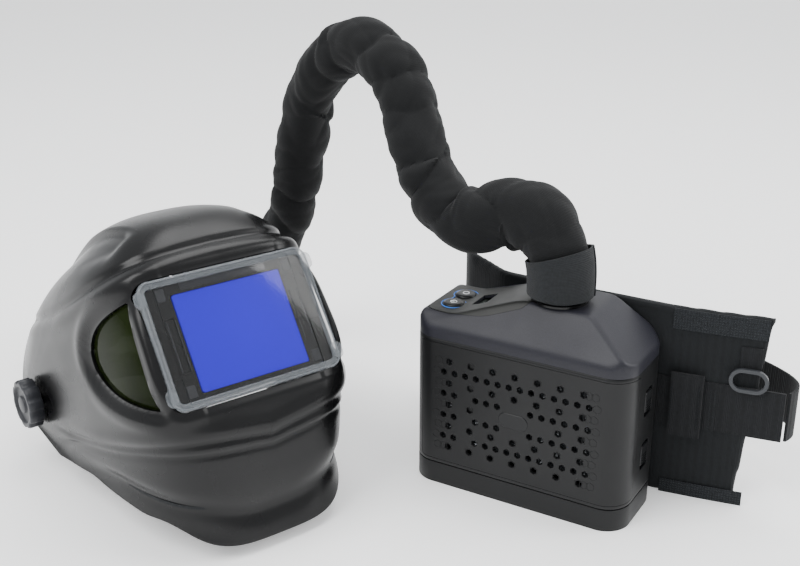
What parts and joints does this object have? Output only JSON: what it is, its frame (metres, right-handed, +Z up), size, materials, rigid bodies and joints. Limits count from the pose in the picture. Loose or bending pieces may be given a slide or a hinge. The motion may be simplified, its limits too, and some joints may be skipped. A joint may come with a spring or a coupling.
{
  "type": "powered air respirator",
  "caption": "Flip-up auto-darkening welding helmet with side windows, fed by a covered breathing hose from a belt-mounted filtering blower with a padded waist belt.",
  "frame": {"origin": "centre of the blower's flat base, on the surface that the set stands on", "axes": "+X along the blower's width, -Y out of its perforated front, +Z up"},
  "size_m": [0.8858, 0.4609, 0.4329],
  "materials": {
    "black_nylon": "satin moulded",
    "case_black": "fine textured moulded",
    "panel_black": "satin membrane",
    "clear_lens": "clear polycarbonate",
    "darkening_glass": "blue-violet coated",
    "green_lens": "dark green shaded",
    "solar": "glossy",
    "hose_fabric": "woven flame retardant",
    "belt_fabric": "padded woven",
    "webbing": "ribbed webbing",
    "foam": "soft foam",
    "tube_rubber": "matte",
    "gasket_rubber": "matte",
    "steel": "zinc plated",
    "filter_paper": "pleated media",
    "circuit": "solder mask"
  },
  "bodies": {
    "blower": {"air_duct": "case_black", "belt_bracket": "case_black", "belt_pad": "belt_fabric", "breathing_tube": "tube_rubber", "buckle_plug": "case_black", "buckle_socket": "case_black", "case_screws": "steel", "circuit_board": "circuit", "crown_strap": "case_black", "duct_nozzle": "case_black", "fan_motor": "steel", "fan_scroll": "case_black", "friction_washers": "case_black", "gaskets": "gasket_rubber", "headband": "case_black", "hose_cover": "hose_fabric", "inlet_spigot": "case_black", "main_case": "case_black", "nape_pad": "foam", "outlet_spigot": "case_black", "particle_filter": "filter_paper", "pivot_studs": "steel", "prefilter": "foam", "ratchet_housing": "case_black", "rear_band": "case_black", "sewn_tabs": "webbing", "spark_screen": "steel", "status_display": "panel_black", "strap_keeper": "case_black", "sweatband": "foam", "tilt_plates": "case_black", "top_cover": "case_black", "waist_webbing": "webbing"},
    "shell": {"helmet_shell": "black_nylon", "side_window_left": "green_lens", "side_window_right": "green_lens", "lens_frame": "black_nylon", "cover_lens": "clear_lens", "filter_cartridge": "black_nylon", "darkening_glass": "darkening_glass", "solar_cell": "solar", "filter_battery_tray": "case_black", "inner_cover_lens": "clear_lens", "face_seal": "hose_fabric"},
    "knob_left": {"pivot_knob_left": "black_nylon"},
    "knob_right": {"pivot_knob_right": "black_nylon"},
    "ratchet": {"ratchet_knob": "case_black"},
    "helmet_swivel": {"helmet_hose_connector": "case_black"},
    "blower_swivel": {"blower_hose_connector": "case_black"},
    "fan": {"impeller": "case_black"},
    "power_button": {"power_button": "panel_black"},
    "speed_button": {"speed_button": "panel_black"},
    "front_cover": {"filter_cover": "case_black"},
    "battery": {"battery_case": "case_black", "battery_cells": "solar"},
    "battery_latch": {"battery_latch": "case_black"},
    "filter_latch": {"filter_latch": "case_black"},
    "belt_ring": {"d_ring": "black_nylon"},
    "prong_upper": {"buckle_prong_upper": "case_black"},
    "prong_lower": {"buckle_prong_lower": "case_black"}
  },
  "joints": [
    {"name": "shell_flip", "type": "hinge", "parent": "blower", "child": "shell", "pos_m": [-0.4016, -0.1097, 0.076], "axis": [-0.3806, -0.9247, 0], "range_deg": [0, 33]},
    {"name": "knob_left_turn", "type": "hinge", "parent": "blower", "child": "knob_left", "pos_m": [-0.35555, 0.00219, 0.076], "axis": [0.3806, 0.9247, 0], "range_deg": [-180, 180]},
    {"name": "knob_right_turn", "type": "hinge", "parent": "blower", "child": "knob_right", "pos_m": [-0.44765, -0.22159, 0.076], "axis": [0.3806, 0.9247, 0], "range_deg": [-180, 180]},
    {"name": "ratchet_turn", "type": "hinge", "parent": "blower", "child": "ratchet", "pos_m": [-0.50055, -0.06898, 0.038], "axis": [-0.9247, 0.3806, 0], "continuous": true},
    {"name": "helmet_hose_swivel", "type": "hinge", "parent": "blower", "child": "helmet_swivel", "pos_m": [-0.50517, -0.06707, 0.084], "axis": [-0.9247, 0.3806, 0], "continuous": true},
    {"name": "blower_hose_swivel", "type": "hinge", "parent": "blower", "child": "blower_swivel", "pos_m": [0.02, 0.003, 0.21], "axis": [0, 0, 1], "continuous": true},
    {"name": "impeller_spin", "type": "hinge", "parent": "blower", "child": "fan", "pos_m": [0.03, 0.01, 0.092], "axis": [0, 1, 0], "continuous": true},
    {"name": "power_press", "type": "slide", "parent": "blower", "child": "power_button", "axis": [0, 0, -1], "range_m": [0, 0.0008], "stiffness_N_per_m": 400},
    {"name": "speed_press", "type": "slide", "parent": "blower", "child": "speed_button", "axis": [0, 0, -1], "range_m": [0, 0.0008], "stiffness_N_per_m": 400},
    {"name": "filter_cover_open", "type": "hinge", "parent": "blower", "child": "front_cover", "pos_m": [-0.1, -0.0475, 0.0938], "axis": [0, 0, -1], "range_deg": [0, 90]},
    {"name": "battery_slide", "type": "slide", "parent": "blower", "child": "battery", "axis": [1, 0, 0], "range_m": [0, 0.08]},
    {"name": "battery_latch_slide", "type": "slide", "parent": "blower", "child": "battery_latch", "axis": [0, 0, -1], "range_m": [0, 0.003], "stiffness_N_per_m": 600},
    {"name": "filter_latch_press", "type": "slide", "parent": "blower", "child": "filter_latch", "axis": [-1, 0, 0], "range_m": [0, 0.0015], "stiffness_N_per_m": 600},
    {"name": "belt_ring_swing", "type": "hinge", "parent": "blower", "child": "belt_ring", "pos_m": [0.18884, 0.05783, 0.1497], "axis": [-0.9858, -0.1678, 0], "range_deg": [0, 80]},
    {"name": "prong_upper_squeeze", "type": "hinge", "parent": "blower", "child": "prong_upper", "pos_m": [0.0135, 0.1645, 0.125], "axis": [0, -1, 0], "range_deg": [0, 4], "stiffness_Nm_per_rad": 0.6},
    {"name": "prong_lower_squeeze", "type": "hinge", "parent": "blower", "child": "prong_lower", "pos_m": [0.0135, 0.1645, 0.085], "axis": [0, 1, 0], "range_deg": [0, 4], "stiffness_Nm_per_rad": 0.6}
  ]
}
